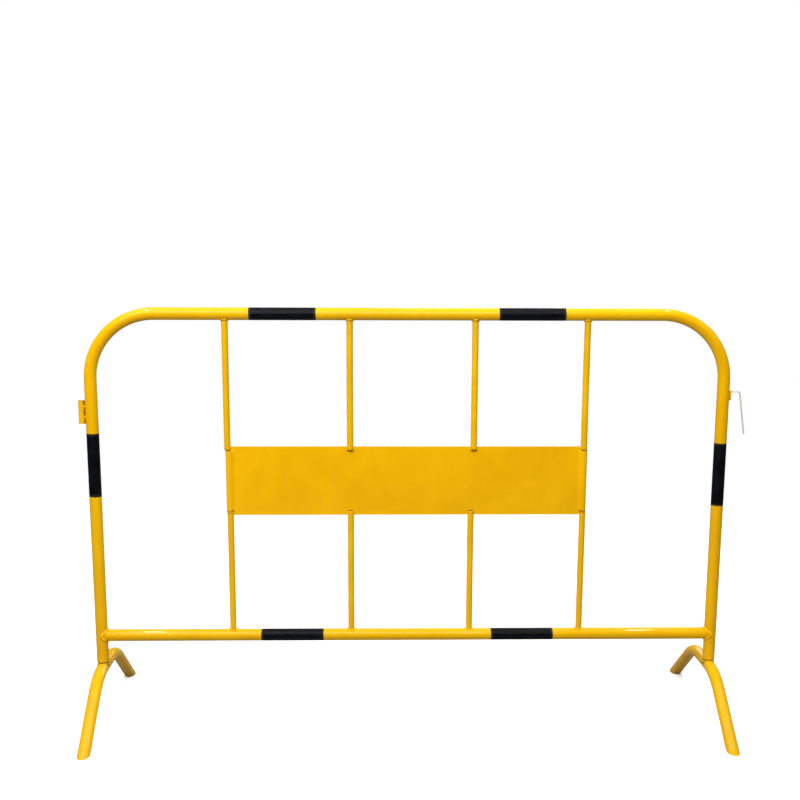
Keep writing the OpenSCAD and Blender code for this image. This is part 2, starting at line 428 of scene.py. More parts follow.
def enamel(name, bright, deep, dimples, peel, smooth_gloss, rough_gloss, patches, ripples=0.0):
    """Gloss yellow enamel, with its thick and thin places, chips, painted shade in its crevices and beside
    its welds, and dust.
    """
    material, tree, shader, place = fresh_material(name)
    facing = tree.nodes.new("ShaderNodeNewGeometry").outputs["Normal"]
    thick = use_group(tree, FILM_BUILD, {"Place": place, "Patches": patches})["Thickness"]
    # painted shade in crevices and beside welds
    crevice_shade = use_group(tree, CREVICE, {"Place": place, "Mark": mark_of(tree, "shade_and_rust")})["Mask"]
    chips = use_group(tree, CHIPS, {"Place": place, "Wear": mark_of(tree, "wear"), "Flecks": 190.0})
    dust = use_group(tree, DUST, {"Place": place, "Facing": facing})["Mask"]
    peel_height = use_group(tree, ORANGE_PEEL, {"Place": place, "Dimples": dimples})["Height"]

    colour = blend_colour(tree, thick, bright, deep)
    colour = blend_colour(tree, sums(tree, "MULTIPLY", dust, 0.75), colour, DUST_COLOUR)
    # painted shade darkens the paint in crevices and beside welds
    colour = blend_colour(tree, sums(tree, "MULTIPLY", crevice_shade, 0.88), colour, PAINTED_SHADE)
    colour = blend_colour(tree, chips["Mask"], colour, PRIMER)
    tree.links.new(colour, shader.inputs["Base Color"])

    rough = rescale(tree, thick, 0.0, 1.0, rough_gloss, smooth_gloss)
    rough = sums(tree, "MULTIPLY_ADD", dust, 0.45, rough)
    rough = sums(tree, "MULTIPLY_ADD", crevice_shade, 0.30, rough)
    rough = sums(tree, "MULTIPLY_ADD", chips["Mask"], 0.35, rough, clamp=True)
    tree.links.new(rough, shader.inputs["Roughness"])

    level = sums(tree, "MULTIPLY_ADD", chips["Mask"], -3.0, peel_height)
    level = sums(tree, "MULTIPLY_ADD", chips["Rim"], 0.8, level)
    if ripples:
        level = sums(tree, "MULTIPLY_ADD", noise(tree, place, 900.0), ripples, level)
    bumped(tree, shader, level, peel)
    shader.inputs["Specular IOR Level"].default_value = PAINT_SPECULAR
    shader.inputs["Coat Weight"].default_value = GLOSS_COAT
    shader.inputs["Coat Roughness"].default_value = COAT_ROUGHNESS
    return material


def tube_enamel():
    return enamel("tube_enamel", BRIGHT_YELLOW, DEEP_YELLOW, dimples=430.0, peel=0.000006,
                  smooth_gloss=0.24, rough_gloss=0.36, patches=8.0)


def bar_enamel():
    return enamel("bar_enamel", (0.900, 0.500, 0.0006, 1), (0.830, 0.435, 0.0004, 1),
                  dimples=520.0, peel=0.000010, smooth_gloss=0.28, rough_gloss=0.42, patches=14.0)


def sheet_enamel():
    return enamel("sheet_enamel", (0.910, 0.480, 0.0003, 1), (0.840, 0.430, 0.0002, 1),
                  dimples=330.0, peel=0.000014, smooth_gloss=0.30, rough_gloss=0.46, patches=11.0)


def weld_enamel():
    return enamel("weld_enamel", (0.940, 0.560, 0.006, 1), (0.870, 0.460, 0.001, 1),
                  dimples=600.0, peel=0.000060, smooth_gloss=0.22, rough_gloss=0.42, patches=60.0,
                  ripples=0.7)


def black_wrap():
    """Smooth black film: faint scuffs along it, a little lint and pale dust at its edges."""
    material, tree, shader, place = fresh_material("black_wrap")
    facing = tree.nodes.new("ShaderNodeNewGeometry").outputs["Normal"]
    haze = noise(tree, place, 55.0, 4.0, 0.6)
    scuffs = noise(tree, place, 900.0, 3.0, 0.7)
    dust = use_group(tree, DUST, {"Place": place, "Facing": facing})["Mask"]
    wear = mark_of(tree, "wear")
    colour = blend_colour(tree, rescale(tree, haze, 0.35, 0.68), FILM_BLACK, FILM_HAZE)
    scuffed = sums(tree, "MULTIPLY", rescale(tree, scuffs, 0.68, 0.78), 0.20)
    colour = blend_colour(tree, scuffed, colour, FILM_SCUFF)
    colour = blend_colour(tree, sums(tree, "MULTIPLY", dust, 0.08), colour, DUST_COLOUR)
    colour = blend_colour(tree, sums(tree, "MULTIPLY", wear, 0.35), colour, EDGE_LINT)
    tree.links.new(colour, shader.inputs["Base Color"])
    rough = rescale(tree, haze, 0.3, 0.7, 0.34, 0.50)
    rough = sums(tree, "MULTIPLY_ADD", dust, 0.3, rough, clamp=True)
    tree.links.new(rough, shader.inputs["Roughness"])
    creases = noise(tree, place, 120.0, distortion=0.6)
    bumped(tree, shader, sums(tree, "MULTIPLY_ADD", scuffs, 0.12, creases), 0.00006)
    shader.inputs["Specular IOR Level"].default_value = FILM_SPECULAR
    return material


def zinc_rod():
    """Bright zinc plating on drawn rod: draw lines, cloudy patches and a few white spots."""
    material, tree, shader, place = fresh_material("zinc_rod")
    cloud = noise(tree, place, 110.0, 4.0, 0.6)
    spangle = wire(tree, "ShaderNodeTexVoronoi", {"Vector": place, "Scale": 700.0}, feature="F1")
    tone = wire(tree, "ShaderNodeSeparateXYZ", {0: spangle.outputs["Color"]}).outputs[0]
    drawn = noise(tree, stretched(tree, place, 0.03), 2600.0)
    rust = use_group(tree, CREVICE, {"Place": place, "Mark": mark_of(tree, "shade_and_rust")})["Mask"]
    colour = blend_colour(tree, rescale(tree, cloud, 0.35, 0.66), ZINC_PALE, ZINC_DULL)
    colour = blend_colour(tree, sums(tree, "MULTIPLY", tone, 0.25), colour, ZINC_SPANGLE)
    colour = blend_colour(tree, sums(tree, "MULTIPLY", rust, 0.6), colour, RUST)
    tree.links.new(colour, shader.inputs["Base Color"])
    tree.links.new(rescale(tree, cloud, 0.3, 0.7, 0.28, 0.46), shader.inputs["Roughness"])
    metal = sums(tree, "SUBTRACT", 0.35, sums(tree, "MULTIPLY", rust, 0.3))
    tree.links.new(metal, shader.inputs["Metallic"])
    bumped(tree, shader, sums(tree, "MULTIPLY_ADD", cloud, 0.8, drawn), 0.00003, 0.8)
    return material


TUBE_PAINT = tube_enamel()
BAR_PAINT = bar_enamel()
SHEET_PAINT = sheet_enamel()
WELD_PAINT = weld_enamel()
FILM_WRAP = black_wrap()
ZINC = zinc_rod()


# ---- the hoop and the bottom rail ----

def hoop_line():
    """Stations along the hoop, left leg to right: (middle, way out of the hoop, how far into a bend)."""
    left = [LEG_Z, LEG_Z + 0.0006, LEG_Z + 0.002, LEG_Z + 0.004] + spread(LEG_Z + 0.012, BEND_Z, 34)
    line = [(Vector((-LEG_X, 0, z)), Vector((-1, 0, 0)), 0.0) for z in left]
    corner = Vector((-LEG_X + CORNER_R, 0, BEND_Z))
    steps = 28
    for i in range(1, steps):
        a = math.pi / 2 * i / steps
        out = Vector((-math.cos(a), 0, math.sin(a)))
        line.append((corner + out * CORNER_R, out, math.sin(2 * a) ** 0.5))
    flat = LEG_X - CORNER_R
    line += [(Vector((x, 0, TOP_Z)), Vector((0, 0, 1)), 0.0) for x in spread(-flat, 0, 30)]
    mirrored = [(Vector((-m.x, 0, m.z)), Vector((-o.x, 0, o.z)), b) for m, o, b in reversed(line[:-1])]
    return line + mirrored


def hoop():
    """The bent tube: top, corners and legs. The bends are a little flattened."""
    outer, inner = [], []
    for middle, out, bend in hoop_line():
        from_end = min(middle.z - LEG_Z, 1) if abs(middle.x) > LEG_X - 0.001 else 1
        lip = CUT_LIP * (1 - smooth_step(0.0006, 0.004, from_end))
        outer.append(ring(middle, out, SIDE, TUBE_R + lip, TUBE_SIDES, 1 - 0.014 * bend, 1 + 0.004 * bend))
        inner.append(ring(middle, out, SIDE, TUBE_R - TUBE_WALL, TUBE_SIDES))
    shape = Shape()

    # painted shade at the leg's cut end, over the gap to the foot
    def seam_shade(p):
        return 1 - smooth_step(0.0002, 0.0028, p.z - LEG_Z)

    def rubbed(p):
        out = Vector((abs(p.x) - LEG_X + CORNER_R, p.z - BEND_Z)).length - CORNER_R
        in_corner = p.z > BEND_Z and abs(p.x) > LEG_X - CORNER_R
        return 0.16 * smooth_step(0.010, 0.0145, out) if in_corner else 0.06
    shape.add(outer + inner[::-1], wrap=True, shade_and_rust=seam_shade, wear=rubbed)
    shape.finish("hoop", TUBE_PAINT, "frame", ["hoop_tube"], 0.0004)


def bottom_rail():
    """The lower tube, its ends coped to the legs."""
    half = LEG_X - TUBE_R - 0.004

    def straight(r, stations):
        return [ring(Vector((x, 0, RAIL_Z)), UP, SIDE, r, TUBE_SIDES) for x in spread(-half, half, stations)]

    def coped(flat_ring, side):
        return [Vector((side * (LEG_X - tube_rise(p.y)), p.y, p.z)) for p in flat_ring]
    outer, inner = straight(TUBE_R, 80), straight(TUBE_R - TUBE_WALL, 20)
    outer = [coped(outer[0], -1)] + outer + [coped(outer[-1], 1)]
    inner = [coped(inner[0], -1)] + inner + [coped(inner[-1], 1)]
    shape = Shape()
    shape.add(outer + inner[::-1], wrap=True, wear=lambda p: 0.12)
    shape.finish("lower_rail", TUBE_PAINT, "frame", ["bottom_rail"], 0)


def rail_beads():
    """The bead round each end of the bottom rail, where it meets the leg."""
    shape = Shape()
    for side in (-1, 1):
        def crease(t, side=side):
            a = 2 * math.pi * t
            y, up = TUBE_R * math.cos(a), TUBE_R * math.sin(a)
            inward = tube_rise(y)
            rail_way = Vector((0, math.cos(a), math.sin(a)))
            leg_way = Vector((-side * inward / TUBE_R, y / TUBE_R, 0))
            return Vector((side * (LEG_X - inward), y, RAIL_Z + up)), rail_way + leg_way
        rings, toe_shade = bead_rings(crease, 0.0024, pitch=0.0030, seed=40 + side)
        # painted shade at the toes of the rail beads
        shape.add(rings, wrap=True, shade_and_rust=toe_shade)
    shape.finish("rail_beads", WELD_PAINT, "frame", ["rail_welds"], 0)


# ---- the bars ----

def bar_heights(low_z, high_z):
    """Ring heights along a bar, closer together near its ends."""
    near = [0.0006, 0.0015, 0.003, 0.005, 0.008, 0.012]
    bottom = [low_z] + [low_z + d for d in near]
    top = [high_z - d for d in near[::-1]] + [high_z]
    return bottom + spread(low_z + 0.02, high_z - 0.02, 12) + top


def upright_bar(name, x, low_z, high_z, rail_z, sag):
    """One bar. The end at the rail is coped to it; the other stops on the panel."""
    upper = rail_z > low_z
    outer, inner = [], []
    for z in bar_heights(low_z, high_z):
        bow = sag * math.sin(math.pi * (z - low_z) / (high_z - low_z))
        middle = Vector((x + bow, 0, z))
        outer.append(ring(middle, ACROSS, SIDE, BAR_R, BAR_SIDES))
        inner.append(ring(middle, ACROSS, SIDE, BAR_R - BAR_WALL, BAR_SIDES))

    def coped(flat_ring):
        way = -1 if upper else 1
        return [Vector((p.x, p.y, rail_z + way * (math.sqrt(TUBE_R ** 2 - p.y ** 2) - 0.0002)))
                for p in flat_ring]
    for rings in (outer, inner):
        if upper:
            rings[-1] = coped(rings[-1])
            rings.pop(-2)
        else:
            rings[0] = coped(rings[0])
            rings.pop(1)
    panel_end = low_z if upper else high_z
    rail_end = high_z if upper else low_z

    # painted shade on the bar next to the sheet and to the rail
    def dark(p):
        at_panel = 1 - smooth_step(0.002, 0.0055, abs(p.z - panel_end))
        at_rail = 1 - smooth_step(0.0025, 0.006, abs(p.z - rail_end))
        return max(0.9 * at_panel, 0.75 * at_rail)
    shape = Shape()
    shape.add(outer + inner[::-1], wrap=True, shade_and_rust=dark, wear=lambda p: 0.14)
    shape.finish(name, BAR_PAINT, "frame", [name], 0.0002)


def all_bars():
    under_top, over_rail = TOP_Z - TUBE_R + 0.002, RAIL_Z + TUBE_R - 0.002
    for i, x in enumerate(UPPER_X):
        sag = dice.uniform(-BAR_SAG, BAR_SAG)
        upright_bar("upper_bar_%d" % (i + 1), x, SHEET_HIGH - LAP, under_top, TOP_Z, sag)
    for i, x in enumerate(LOWER_X):
        sag = dice.uniform(-BAR_SAG, BAR_SAG)
        upright_bar("lower_bar_%d" % (i + 1), x, over_rail, SHEET_LOW + LAP, RAIL_Z, sag)


def bar_beads(name, node, places, rail_z, way):
    """The beads between the bars and a rail."""
    shape = Shape()
    for number, x in enumerate(places):
        def crease(t, x=x):
            a = 2 * math.pi * t
            y = BAR_R * math.sin(a)
            rise = math.sqrt(TUBE_R ** 2 - y ** 2)
            bar_way = Vector((math.cos(a), math.sin(a), 0))
            rail_way = Vector((0, y / TUBE_R, way * rise / TUBE_R))
            return Vector((x + BAR_R * math.cos(a), y, rail_z + way * rise)), bar_way + rail_way
        size = dice.uniform(0.0021, 0.0026)
        rings, toe_shade = bead_rings(crease, size, seed=60 + number + (10 if way > 0 else 0))
        # painted shade at the toes of the bar beads
        shape.add(rings, wrap=True, shade_and_rust=toe_shade)
    shape.finish(name, WELD_PAINT, "frame", [node], 0)


# ---- the sign panel ----

def waviness(x, z):
    """How far the thin sheet stands off true: pulled in a little at each welded bar."""
    slow = 0.00035 * math.sin(7.3 * x + 1.1) * math.sin(19 * (z - SHEET_LOW) + 0.4)
    pulled = 0.0
    for bar_x, bar_z in [(x0, SHEET_HIGH) for x0 in UPPER_X] + [(x0, SHEET_LOW) for x0 in LOWER_X]:
        away = math.hypot(x - bar_x, (z - bar_z) * 0.8)
        pulled += 0.0005 * math.exp(-(away / PULL_REACH) ** 2)
    return slow + pulled * 0.6


def weld_shadow(p):
    """Painted shadow on the sheet just past each bar's end, where the proud lapped end and its bead shade
    it.
    """
    worst = 0.0
    for bar_x, end_z, way in BAR_ENDS:
        dx, dz = p.x - bar_x, (end_z - p.z) * way
        if abs(dx) < 0.02 and -0.01 < dz < 0.01:
            past = (1 - smooth_step(0.0026, 0.0040, dz)) * smooth_step(-0.0010, 0.0010, dz)
            worst = max(worst, past * (1 - smooth_step(0.0060, 0.0085, abs(dx))))
    return worst


def sheet_point(x, z, face):
    """A point on the sheet's front (-1) or back (1); the front is hemmed over beside the rolls."""
    from_roll = min(x - ROLL_X[0], ROLL_X[1] - x)
    off = waviness(x, z) * smooth_step(0.008, 0.03, from_roll)
    if face < 0:
        square = smooth_step(LAP, LAP + 0.004, min(z - SHEET_LOW, SHEET_HIGH - z))
        off -= (ROLL_R - 0.0005) * square * (1 - smooth_step(0.001, HEM, from_roll))
    return Vector((x, face * SHEET_T / 2 + off, z))


def sign_panel():
    """The blank sheet with its two rolled edges."""
    shape = Shape()
    columns = (spread(ROLL_X[0], ROLL_X[0] + HEM, 12)
               + spread(ROLL_X[0] + HEM + 0.003, ROLL_X[1] - HEM - 0.003, 280)
               + spread(ROLL_X[1] - HEM, ROLL_X[1], 12))
    rows = spread(SHEET_LOW, SHEET_HIGH, 118)
    wide, tall = len(columns), len(rows)
    for face in (-1, 1):
        for z in rows:
            for x in columns:
                p = sheet_point(x, z, face)
                edge = min(z - SHEET_LOW, SHEET_HIGH - z)
                shape.points.append(p)
                shape.shade_and_rust.append(weld_shadow(p))
                shape.wear.append(0.06 + 0.25 * (1 - smooth_step(0, 0.003, edge)))

    def quad(*corners):
        shape.faces.append(tuple(face * wide * tall + row * wide + column for face, row, column in corners))
    for r in range(tall - 1):
        for c in range(wide - 1):
            for face in (0, 1):
                quad((face, r, c), (face, r, c + 1), (face, r + 1, c + 1), (face, r + 1, c))
    for c in range(wide - 1):
        for r in (0, tall - 1):
            quad((0, r, c), (0, r, c + 1), (1, r, c + 1), (1, r, c))
    for r in range(tall - 1):
        for c in (0, wide - 1):
            quad((0, r, c), (0, r + 1, c), (1, r + 1, c), (1, r, c))

    low_end, high_end = SHEET_LOW + LAP + 0.0004, SHEET_HIGH - LAP - 0.0004
    heights = [low_end + d for d in (0, 0.001, 0.003, 0.006)] + spread(low_end + 0.012, high_end - 0.012, 10)
    heights += [high_end - d for d in (0.006, 0.003, 0.001, 0)]
    for x in ROLL_X:
        outer = [ring(Vector((x, 0, z)), ACROSS, SIDE, ROLL_R, BAR_SIDES) for z in heights]
        inner = [ring(Vector((x, 0, z)), ACROSS, SIDE, ROLL_R - SHEET_T, BAR_SIDES) for z in heights]
        # painted shade on the rolls at their ends, beside the bar welds
        shape.add(outer + inner[::-1], wrap=True, wear=lambda p: 0.2,
                  shade_and_rust=lambda p: 1 - smooth_step(0.0008, 0.0035, min(p.z - low_end, high_end - p.z)))
    shape.finish("sign_panel", SHEET_PAINT, "frame", ["sign_panel"], 0.0003)


def panel_beads():
    """The weld that closes each bar's lapped end: a plump rippled blob, as wide as the bar."""
    shape = Shape()
    lift, rim_r, sides = 0.0012, BAR_R + 0.0003, 28
    for x, z, way in BAR_ENDS:
        phase = dice.uniform(0, 6)
        plump = dice.uniform(0.0021, 0.0026)
        blob = []
        for t in spread(0.04, 1.0, 9) + [1.25, 1.5, 1.75]:
            a = math.pi / 2 * t
            rim = rim_r if t <= 1.0 else rim_r - 0.0012 * (t - 1.0)
            drop = plump * math.cos(a) if t <= 1.0 else -0.0052 * (t - 1.0)
            middle = Vector((x, 0, z + way * (lift - drop)))
            round_it = ring(middle, ACROSS, SIDE, rim * math.sin(min(a, math.pi / 2)), sides)
            for j, p in enumerate(round_it):
                turn = 2 * math.pi * j / sides
                ripple = 1 + 0.020 * math.sin(7 * turn + phase) + 0.014 * math.sin(13 * turn - phase)
                round_it[j] = middle + (p - middle) * ripple
            blob.append(round_it)
        tip_z = z + way * lift - way * plump

        # painted shade at the tip of the blob, where it meets the sheet
        def root(p, tip_z=tip_z):
            return 0.85 * (1 - smooth_step(0.0002, 0.0011, abs(p.z - tip_z)))
        shape.add(blob, ends=True, shade_and_rust=root)
    shape.finish("panel_beads", WELD_PAINT, "frame", ["panel_welds"], 0)


# ---- the black bands ----

def wrap_band(name, middle, along, length, seam):
    """A film wrapped once round the tube, its end lapped over its start, its edges not quite square."""
    u = SIDE
    v = along.cross(u)
    luck = random.Random(name)
    phase, tilt = luck.uniform(0, 6), luck.uniform(-0.0006, 0.0006)
    sides = 72
    outer, inner = [], []
    for t in spread(-1, 1, 26):
        outside, inside = [], []
        for j in range(sides):
            a = 2 * math.pi * j / sides
            wrapped = ((a - seam) / (2 * math.pi)) % 1
            lap = 0.00010 * smooth_step(0.90, 0.93, wrapped)
            pucker = 0.00003 * math.sin(23 * t + 3 * a + phase) + 0.00003 * math.sin(61 * t - 2 * a)
            edge = smooth_step(0.97, 1.0, abs(t))
            r = TUBE_R + FILM * 0.62 + lap + pucker - 0.00008 * edge
            shift = tilt * math.cos(a) + 0.0002 * math.sin(2 * a + phase)
            reach = middle + along * (length / 2 * t + shift * abs(t))
            way = u * math.cos(a) + v * math.sin(a)
            outside.append(reach + way * r)
            inside.append(reach + way * (TUBE_R + 0.00002))
        outer.append(outside)
        inner.append(inside)
    shape = Shape()
    half = length / 2

    def edge_dust(p):
        return 0.8 * smooth_step(half - 0.0022, half - 0.0004, abs((p - middle).dot(along)))
    shape.add(outer + inner[::-1], wrap=True, wear=edge_dust)
    shape.finish(name, FILM_WRAP, "frame", [name], 0)


def all_bands():
    for name, x in TOP_BANDS.items():
        wrap_band(name, Vector((x, 0, TOP_Z)), ACROSS, TOP_BAND_LONG, 0.9)
    for name, x in LOW_BANDS.items():
        wrap_band(name, Vector((x, 0, RAIL_Z)), ACROSS, LOW_BAND_LONG, 0.7)
    for name, (x, z) in LEG_BANDS.items():
        wrap_band(name, Vector((x, 0, z)), UP, LEG_BAND_LONG, 1.3)


# ---- the hook and the socket ----

def rod_line():
    """Middle points of the hook: up the leg, over, and down the leaning arm."""
    bend_z = ROD_Z - ROD_BEND
    arm_x = ROD_X + ROD_BEND + ROD_LEVEL
    turn_in = Vector((ROD_X + ROD_BEND, 0, bend_z))
    turn_out = Vector((arm_x, 0, bend_z))
    line = [Vector((ROD_X, 0, z)) for z in spread(bend_z - ROD_FOOT, bend_z, 8)]
    line += [turn_in + Vector((-math.cos(a), 0, math.sin(a))) * ROD_BEND
             for a in spread(0.16, math.pi / 2, 10)]
    line += [Vector((x, 0, ROD_Z)) for x in spread(ROD_X + ROD_BEND + 0.002, arm_x, 5)]
    line += [turn_out + Vector((math.sin(a), 0, math.cos(a))) * ROD_BEND
             for a in spread(0.14, math.pi / 2 - ROD_LEAN, 10)]
    down = Vector((math.sin(ROD_LEAN), 0, -math.cos(ROD_LEAN)))
    start = line[-1]
    return line + [start + down * d for d in spread(0.003, ROD_ARM, 24)]


def link_hook():
    """The bent zinc rod, its cut ends a little rounded."""
    line = rod_line()
    rings = []

    def round_rod(middle, out, share=1.0):
        rings.append(ring(middle, out, SIDE, ROD_R * share, ROD_SIDES))
    for i, middle in enumerate(line):
        along = (line[min(i + 1, len(line) - 1)] - line[max(i - 1, 0)]).normalized()
        out = along.cross(SIDE).normalized()
        if i == 0:
            round_rod(middle, out, 0.80)
            round_rod(middle + along * 0.0003, out, 0.95)
            round_rod(middle + along * 0.0008, out)
        elif i == len(line) - 1:
            round_rod(middle - along * 0.0010, out)
            round_rod(middle - along * 0.0003, out, 0.93)
            round_rod(middle, out, 0.76)
        else:
            round_rod(middle, out)
    shape = Shape()
    tip = line[-1]
    back_up = (line[-2] - tip).normalized()
    shape.add(rings, ends=True,
              shade_and_rust=lambda p: 0.75 * (1 - smooth_step(0.0005, 0.0025, (p - tip).dot(back_up))))
    shape.finish("link_hook", ZINC, "frame", ["link_hook"], 0)


def hook_bead():
    """The painted lump of weld that holds the hook's foot to the leg, up to where the rod leaves it."""
    low_z, high_z = ROD_Z - ROD_BEND - ROD_FOOT + 0.0008, ROD_Z + ROD_R + 0.0008
    luck = random.Random(5)
    rings = []
    for t in spread(0, 1, 56):
        puddle = 1 - abs(2 * ((t * 8) % 1) - 1) ** 2.5
        belly = math.sqrt(max(0.0, 1 - abs(2 * t - 1) ** 5))
        middle = Vector((ROD_X + 0.0004 + 0.0002 * math.sin(17 * t), 0, low_z + (high_z - low_z) * t))
        plump = ROD_R - 0.0002 + 0.0004 * puddle + luck.uniform(-0.0001, 0.0001)
        rings.append(ring(middle, ACROSS, SIDE, 0.0016 + plump * belly, ROD_SIDES, 0.72, 1.05))

    # painted shade at the lump's two ends
    def end_shade(p):
        return 0.3 * (1 - smooth_step(0.0004, 0.0012, min(p.z - low_z, high_z - p.z)))
    shape = Shape()
    shape.add(rings, ends=True, shade_and_rust=end_shade)
    shape.finish("hook_bead", WELD_PAINT, "frame", ["hook_weld"], 0)


def link_socket():
    """The offcut of bar tube that takes a neighbour's hook."""
    low_z, high_z = SOCKET_Z - SOCKET_LONG / 2, SOCKET_Z + SOCKET_LONG / 2
    heights = [low_z, low_z + 0.0008, low_z + 0.003] + spread(low_z + 0.006, high_z - 0.006, 14)
    heights += [high_z - 0.003, high_z - 0.0008, high_z]
    outer = [ring(Vector((SOCKET_X, 0, z)), ACROSS, SIDE, BAR_R, SOCKET_SIDES) for z in heights]
    inner = [ring(Vector((SOCKET_X, 0, z)), ACROSS, SIDE, BAR_R - BAR_WALL, SOCKET_SIDES) for z in heights]
    shape = Shape()

    # painted shade on the socket's leg side, in the gap between and beside the tacks
    def tack_shade(p):
        near = min(abs(p.z - SOCKET_Z - dz) for dz in TACK_Z)
        by_leg = smooth_step(SOCKET_X + 0.0045, SOCKET_X + 0.0070, p.x)
        return by_leg * smooth_step(0.0035, 0.0055, near)

    def rim_wear(p):
        return 0.2 + 0.6 * (1 - smooth_step(0.0003, 0.002, high_z - p.z))
    shape.add(outer + inner[::-1], wrap=True, shade_and_rust=tack_shade, wear=rim_wear)
    shape.finish("link_socket", BAR_PAINT, "frame", ["link_socket"], 0.00025)


def socket_tacks():
    """Two short welds across the gap between the socket and the leg, and a dark web between them that stands
    in for the shade in that gap.
    """
    shape = Shape()
    x0, x1 = SOCKET_X + BAR_R - 0.0030, -LEG_X - TUBE_R + 0.0035
    for number, dz in enumerate(TACK_Z):
        tack_z = SOCKET_Z + dz
        rings = []
        for i in range(17):
            t = i / 16
            waist = 0.0034 + 0.0014 * abs(2 * t - 1) ** 1.6
            middle = Vector((x0 + (x1 - x0) * t, 0.0003 * math.sin(9 * t + number), tack_z))
            rings.append(ring(middle, SIDE, UP, waist, 20, 1.08 + 0.05 * math.sin(11 * t), 0.98))
        # painted shade at the edges of each tack
        shape.add(rings, ends=True,
                  shade_and_rust=lambda p, z=tack_z: 0.8 * smooth_step(0.0034, 0.0044, abs(p.z - z)))
    root = []
    for i in range(60):
        t = i / 59
        taper = math.sqrt(max(0.02, 1 - abs(2 * t - 1) ** 8))
        uneven = 1 + 0.10 * math.sin(40 * t) + 0.06 * math.sin(97 * t)
        middle = Vector((SOCKET_X + BAR_R + 0.0006, 0, SOCKET_Z + (t - 0.5) * (SOCKET_LONG - 0.002)))
        root.append(ring(middle, ACROSS, SIDE, 0.0030 * taper * uneven, 16, 0.8, 1.0))
    # the web is painted fully dark, as painted shade in the gap
    shape.add(root, ends=True, shade_and_rust=lambda p: 1.0)
    shape.finish("socket_tacks", WELD_PAINT, "frame", ["socket_welds"], 0)


# ---- the feet ----

def foot_line():
    """Stations over a foot from its front tip to its back tip: (y, z, slope down towards the back)."""
    drop = FOOT_R * (1 - math.cos(FOOT_SLOPE))
    last_z = TUBE_R * math.cos(FOOT_SLOPE) + 0.0016
    run = (CROWN_Z - drop - last_z) / math.sin(FOOT_SLOPE)
    half = [(y, CROWN_Z, 0.0) for y in spread(0.0, CROWN_HALF, 10)]
    for i in range(1, 25):
        a = FOOT_SLOPE * i / 24
        half.append((CROWN_HALF + FOOT_R * math.sin(a), CROWN_Z - FOOT_R * (1 - math.cos(a)), a))
    y0, z0, a = half[-1]
    half += [(y0 + d * math.cos(a), z0 - d * math.sin(a), a) for d in spread(run / 12, run, 12)]
    front = [(-y, z, -a) for y, z, a in reversed(half[1:])]
    return front + half


def foot_rings(x, r, bend_flat):
    """Rings over a foot, with the two end ones brought down along the tube to the ground."""
    rings = []
    line = foot_line()
    for y, z, a in line:
        up = Vector((0, math.sin(a), math.cos(a)))
        bend = math.sin(math.pi * abs(a) / FOOT_SLOPE) if abs(a) < FOOT_SLOPE else 0.0
        rings.append(ring(Vector((x, FOOT_BACK + y, z)), up, ACROSS, r, TUBE_SIDES,
                          1 - bend_flat * bend, 1 + bend_flat * 0.3 * bend))

    def grounded(tip_ring, slope):
        down = Vector((0, math.copysign(math.cos(slope), slope), -abs(math.sin(slope))))
        return [p + down * (p.z / -down.z) for p in tip_ring]
    return [grounded(rings[0], line[0][2])] + rings + [grounded(rings[-1], line[-1][2])]


def foot(side_name, x):
    """One arched foot: hollow, and cut level with the ground."""
    outer = foot_rings(x, TUBE_R, FOOT_FLATTENING)
    inner = foot_rings(x, TUBE_R - TUBE_WALL, 0.0)

    def scraped(p):
        return 0.06 + 0.34 * (1 - smooth_step(0.001, 0.010, p.z))

    # painted shade on the crown round the leg's end
    def by_the_leg(p):
        away = Vector((p.x - x, p.y)).length
        return (1 - smooth_step(0.0150, 0.0175, away)) * smooth_step(0.128, 0.133, p.z)
    shape = Shape()
    shape.add(outer + inner[::-1], wrap=True, wear=scraped, shade_and_rust=by_the_leg)
    shape.finish("foot_arch_" + side_name, TUBE_PAINT, side_name + "_foot",
                 ["foot_" + side_name], 0.0003)


def spigot(side_name, x):
    """The stub that plugs into the leg, standing on the foot's crown."""
    heights = [CROWN_Z + 0.001] + spread(CROWN_Z + 0.004, LEG_Z, 8)
    heights += spread(LEG_Z + 0.004, SPIGOT_TOP - 0.002, 10)

    def level(z, r):
        return ring(Vector((x, 0, z)), ACROSS, SIDE, r, SPIGOT_SIDES)
    outer = [level(z, SPIGOT_R) for z in heights] + [level(SPIGOT_TOP, SPIGOT_R - 0.0006)]
    inner = [level(z, SPIGOT_R - TUBE_WALL) for z in heights + [SPIGOT_TOP]]
    shape = Shape()
    # painted shade on the spigot in the gap under the leg's end and inside the leg
    shape.add(outer + inner[::-1], wrap=True,
              shade_and_rust=lambda p: smooth_step(LEG_Z - 0.004, LEG_Z - 0.001, p.z))
    shape.finish("foot_spigot_" + side_name, TUBE_PAINT, side_name + "_foot",
                 ["spigot_" + side_name], 0)


def spigot_bead(side_name, x):
    """The weld between the stub and the foot's crown, kept below the leg's end."""
    size = 0.0016

    def crease(t):
        a = 2 * math.pi * t
        px, py = SPIGOT_R * math.cos(a), SPIGOT_R * math.sin(a)
        rise = tube_rise(px)
        out = Vector((math.cos(a), math.sin(a), 0)) + Vector((px / TUBE_R, 0, rise / TUBE_R))
        return Vector((x + px, py, CROWN_Z + rise)), out
    rings, toe_shade = bead_rings(crease, size, pitch=0.0026, seed=30)
    kept = []
    for r in rings:
        lift = sum(p.z for p in r) / len(r)
        room = max(0.0, LEG_Z - 0.0003 - lift)
        share = min(1.0, max(0.08, room / 0.0018))
        middle = sum(r, Vector()) / len(r)
        sunk = Vector((0, 0, -size * (1 - share)))
        kept.append([middle + sunk + (p - middle) * share for p in r])
    shape = Shape()
    # softer painted shade at the toes of the spigot bead
    shape.add(kept, wrap=True, shade_and_rust=[0.3 * m for m in toe_shade])
    shape.finish("foot_bead_" + side_name, WELD_PAINT, side_name + "_foot", soft_edge=0)


# ---- the studio ----

